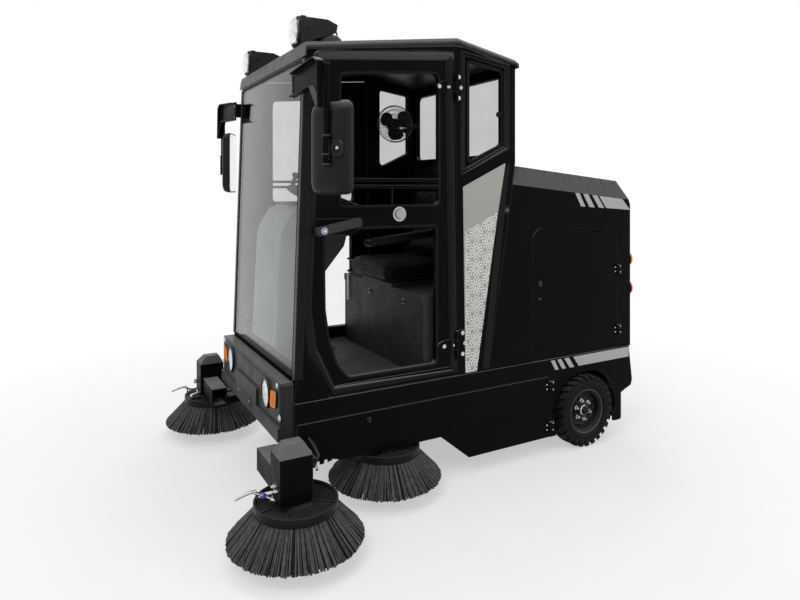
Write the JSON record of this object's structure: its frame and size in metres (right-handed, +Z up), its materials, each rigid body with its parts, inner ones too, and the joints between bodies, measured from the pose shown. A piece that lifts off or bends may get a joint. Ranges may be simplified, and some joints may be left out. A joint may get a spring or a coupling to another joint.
{
  "type": "compact road sweeper",
  "caption": "Compact ride-on road sweeper with a glazed cab, rear hood with side lids, steered front wheel, driven rear axle, side brushes and a cross roller brush.",
  "frame": {"origin": "on the floor under the middle of the outline", "axes": "+X forward, +Y to the machine's left, +Z up"},
  "size_m": [2.35, 1.916, 2.118],
  "materials": {
    "black_paint": "satin black paint",
    "frame_paint": "semi-matt black paint",
    "silver_panel": "pale silver-beige sheet",
    "glass": "clear",
    "clear_lens": "clear moulded lens",
    "amber_lens": "gloss",
    "red_lens": "gloss",
    "lamp_grey": "satin",
    "black_plastic": "fine grain",
    "seat_black": "soft vinyl",
    "console_white": "smooth moulding",
    "tyre": "rubber",
    "rim_black": "gloss black",
    "bristle": "nylon bristle",
    "battery": "plain block"
  },
  "bodies": {
    "machine": {"frame": "frame_paint", "lower_sides": "black_paint", "rear_panel": "black_paint", "cab_floor": "frame_paint", "cab_walls": "black_paint", "cab_back": "black_paint", "cab_roof": "black_paint", "cab_glass": "glass", "trim_panels": "silver_panel", "front_panel": "black_paint", "lamp_lenses": "clear_lens", "amber_lamps": "amber_lens", "red_lamps": "red_lens", "hood": "black_paint", "roof_lamps": "lamp_grey", "mirror_arms": "black_paint", "mirror_heads": "black_plastic", "seat_box": "black_paint", "seat": "seat_black", "armrests": "black_plastic", "console": "console_white", "steering_column": "frame_paint", "cab_fan": "black_plastic", "battery": "battery", "brush_arms": "frame_paint", "brush_covers": "black_paint", "brush_motors": "frame_paint", "rear_axle": "frame_paint"},
    "cab_door_left": {"door_left": "black_paint", "door_glass_left": "glass", "door_grip_left": "black_plastic"},
    "cab_door_right": {"door_right": "black_paint", "door_glass_right": "glass", "door_grip_right": "black_plastic"},
    "side_lid_left": {"hood_door_left": "black_paint"},
    "side_lid_right": {"hood_door_right": "black_paint"},
    "skirt_door_left": {"skirt_left": "black_paint"},
    "skirt_door_right": {"skirt_right": "black_paint"},
    "hand_wheel": {"steering_wheel": "black_plastic"},
    "fork": {"front_fork": "frame_paint"},
    "front_wheel": {"front_tyre": "tyre", "front_rim": "rim_black"},
    "rear_wheel_left": {"rear_tyre_left": "tyre", "rear_rim_left": "rim_black"},
    "rear_wheel_right": {"rear_tyre_right": "tyre", "rear_rim_right": "rim_black"},
    "sweeping_front_left": {"brush_front_left": "bristle"},
    "sweeping_front_right": {"brush_front_right": "bristle"},
    "sweeping_middle_left": {"brush_middle_left": "bristle"},
    "sweeping_middle_right": {"brush_middle_right": "bristle"},
    "sweeping_roller": {"roller_brush": "bristle"}
  },
  "joints": [
    {"name": "cab_door_left_hinge", "type": "hinge", "parent": "machine", "child": "cab_door_left", "pos_m": [0.048, 0.5036, 1.25], "axis": [0, 0, 1], "range_deg": [0, 80]},
    {"name": "side_lid_left_hinge", "type": "hinge", "parent": "machine", "child": "side_lid_left", "pos_m": [-1.044, 0.5036, 0.76], "axis": [0, 0, 1], "range_deg": [0, 100]},
    {"name": "skirt_door_left_hinge", "type": "hinge", "parent": "machine", "child": "skirt_door_left", "pos_m": [-0.537, 0.5096, 0.25], "axis": [0, 0, 1], "range_deg": [0, 90]},
    {"name": "rear_wheel_left_spin", "type": "hinge", "parent": "machine", "child": "rear_wheel_left", "pos_m": [-0.775, 0.485, 0.19], "axis": [0, 1, 0], "continuous": true},
    {"name": "front_brush_left_spin", "type": "hinge", "parent": "machine", "child": "sweeping_front_left", "pos_m": [0.913, 0.696, 0.19], "axis": [0, 0, -1], "continuous": true},
    {"name": "middle_brush_left_spin", "type": "hinge", "parent": "machine", "child": "sweeping_middle_left", "pos_m": [0.384, 0.411, 0.19], "axis": [0, 0, -1], "continuous": true},
    {"name": "cab_door_right_hinge", "type": "hinge", "parent": "machine", "child": "cab_door_right", "pos_m": [0.048, -0.5036, 1.25], "axis": [0, 0, -1], "range_deg": [0, 80]},
    {"name": "side_lid_right_hinge", "type": "hinge", "parent": "machine", "child": "side_lid_right", "pos_m": [-1.044, -0.5036, 0.76], "axis": [0, 0, -1], "range_deg": [0, 100]},
    {"name": "skirt_door_right_hinge", "type": "hinge", "parent": "machine", "child": "skirt_door_right", "pos_m": [-0.537, -0.5096, 0.25], "axis": [0, 0, -1], "range_deg": [0, 90]},
    {"name": "rear_wheel_right_spin", "type": "hinge", "parent": "machine", "child": "rear_wheel_right", "pos_m": [-0.775, -0.485, 0.19], "axis": [0, 1, 0], "continuous": true},
    {"name": "front_brush_right_spin", "type": "hinge", "parent": "machine", "child": "sweeping_front_right", "pos_m": [0.913, -0.696, 0.19], "axis": [0, 0, 1], "continuous": true},
    {"name": "middle_brush_right_spin", "type": "hinge", "parent": "machine", "child": "sweeping_middle_right", "pos_m": [0.384, -0.411, 0.19], "axis": [0, 0, 1], "continuous": true},
    {"name": "roller_spin", "type": "hinge", "parent": "machine", "child": "sweeping_roller", "pos_m": [-0.22, 0, 0.215], "axis": [0, 1, 0], "continuous": true},
    {"name": "front_steer", "type": "hinge", "parent": "machine", "child": "fork", "pos_m": [0.55, 0, 0.43], "axis": [0, 0, 1], "range_deg": [-60, 60]},
    {"name": "front_wheel_spin", "type": "hinge", "parent": "fork", "child": "front_wheel", "pos_m": [0.55, 0, 0.19], "axis": [0, 1, 0], "continuous": true},
    {"name": "hand_wheel_turn", "type": "hinge", "parent": "machine", "child": "hand_wheel", "pos_m": [0.5, 0, 1.32], "axis": [-0.342, 0, 0.9397], "range_deg": [-310, 310]}
  ],
  "couplings": [
    {"joint": "hand_wheel_turn", "follows": "front_steer", "ratio": 5}
  ]
}
